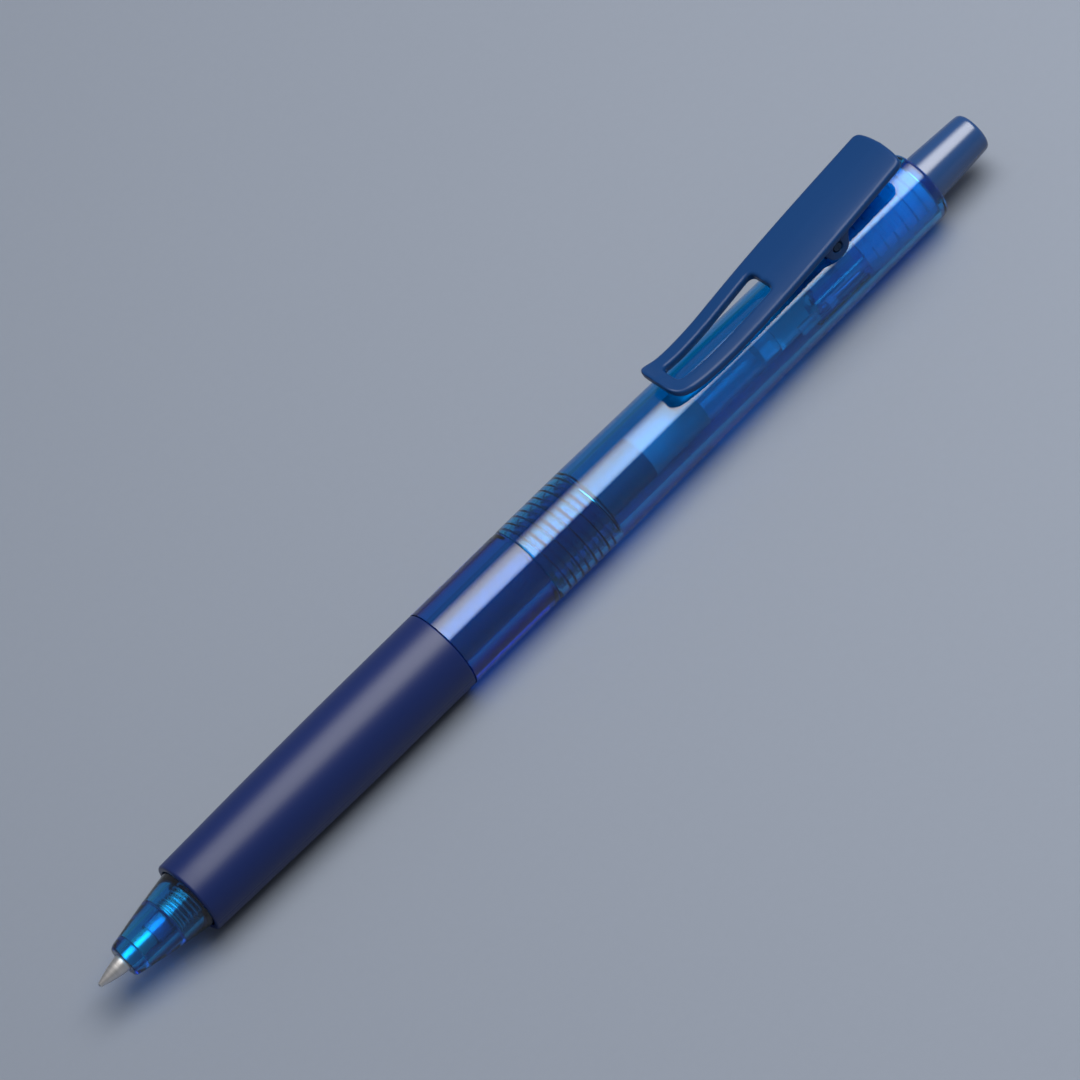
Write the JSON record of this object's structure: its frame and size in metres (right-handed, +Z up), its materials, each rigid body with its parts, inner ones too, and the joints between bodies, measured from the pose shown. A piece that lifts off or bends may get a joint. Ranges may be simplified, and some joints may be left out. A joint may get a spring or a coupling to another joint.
{
  "type": "gel pen",
  "caption": "Retractable gel pen with a translucent barrel, a rubber grip, a push button at the rear and a hinged, sprung pocket clip.",
  "frame": {"origin": "under the middle of the pen's length, level with the lowest line of the barrel", "axes": "+X along the pen from the writing tip to the knock, +Z up through the clip, Y across"},
  "size_m": [0.1458, 0.0109, 0.0155],
  "materials": {
    "translucent_blue": "clear blue, polished",
    "grip_rubber": "smooth satin",
    "navy_satin": "satin",
    "navy_gloss": "polished",
    "clear_plastic": "clear",
    "holder_plastic": "natural, translucent",
    "ink": "wet",
    "grease": "wet",
    "steel": "bright wire",
    "tip_metal": "turned, warm silver",
    "carbide": "polished"
  },
  "bodies": {
    "barrel": {"front_barrel": "translucent_blue", "grip_sleeve": "grip_rubber", "rear_barrel": "translucent_blue", "guide_sleeve": "translucent_blue", "clip_pin": "steel", "clip_spring": "steel"},
    "clip": {"clip": "navy_satin"},
    "knock": {"knock_button": "navy_gloss", "plunger": "clear_plastic"},
    "refill": {"refill_tube": "clear_plastic", "ink_column": "ink", "follower": "grease", "tip_holder": "holder_plastic", "writing_tip": "tip_metal", "return_spring": "steel"},
    "rotor": {"cam_rotor": "clear_plastic"},
    "ball": {"ball": "carbide"}
  },
  "joints": [
    {"name": "knock_slide", "type": "slide", "parent": "barrel", "child": "knock", "axis": [1, 0, 0], "range_m": [-0.0015, 0.0055], "stiffness_N_per_m": 250},
    {"name": "refill_slide", "type": "slide", "parent": "barrel", "child": "refill", "axis": [1, 0, 0], "range_m": [-0.0015, 0.0055], "deforming": ["return_spring"]},
    {"name": "rotor_turn", "type": "hinge", "parent": "refill", "child": "rotor", "pos_m": [0.04105, 0, 0.00545], "axis": [1, 0, 0], "continuous": true},
    {"name": "clip_hinge", "type": "hinge", "parent": "barrel", "child": "clip", "pos_m": [0.04925, 0, 0.01135], "axis": [0, 1, 0], "range_deg": [0, 15], "stiffness_Nm_per_rad": 0.08, "springref_deg": -8.59, "deforming": ["clip_spring"]},
    {"name": "ball_roll", "type": "hinge", "parent": "refill", "child": "ball", "pos_m": [-0.0727, 0, 0.00545], "axis": [0, 1, 0], "continuous": true}
  ],
  "couplings": [
    {"joint": "refill_slide", "follows": "knock_slide", "ratio": 1}
  ]
}
